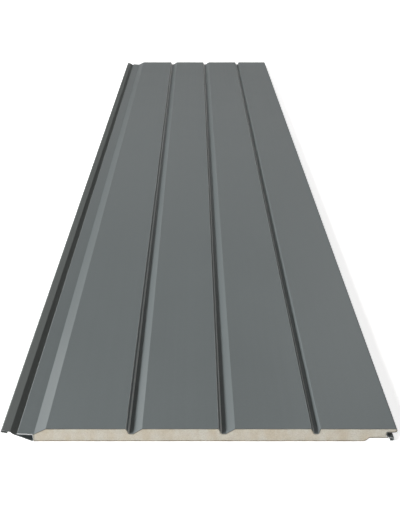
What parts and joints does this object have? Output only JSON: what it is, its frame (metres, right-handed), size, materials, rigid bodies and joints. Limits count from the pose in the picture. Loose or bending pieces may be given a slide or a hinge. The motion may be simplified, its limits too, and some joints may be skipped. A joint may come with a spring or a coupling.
{
  "type": "siding panel",
  "caption": "Insulated siding panel: a grooved painted steel face rolled over a foam core, with a folded tongue and nailing flange on one long edge and a slotted nose on the other.",
  "frame": {"origin": "middle of the panel's footprint, on the back plane that goes against the wall", "axes": "+X across the panel from the nailing flange to the nose, +Y along its length, +Z out of the wall through the face"},
  "size_m": [0.4097, 1.8, 0.016],
  "materials": {
    "painted_steel": "satin grey coil coating",
    "rigid_foam": "cream polyurethane foam, cut face",
    "foil_facing": "dull laminated foil"
  },
  "bodies": {
    "root": {"face_sheet": "painted_steel", "foam_core": "rigid_foam", "backing_foil": "foil_facing"}
  },
  "joints": []
}
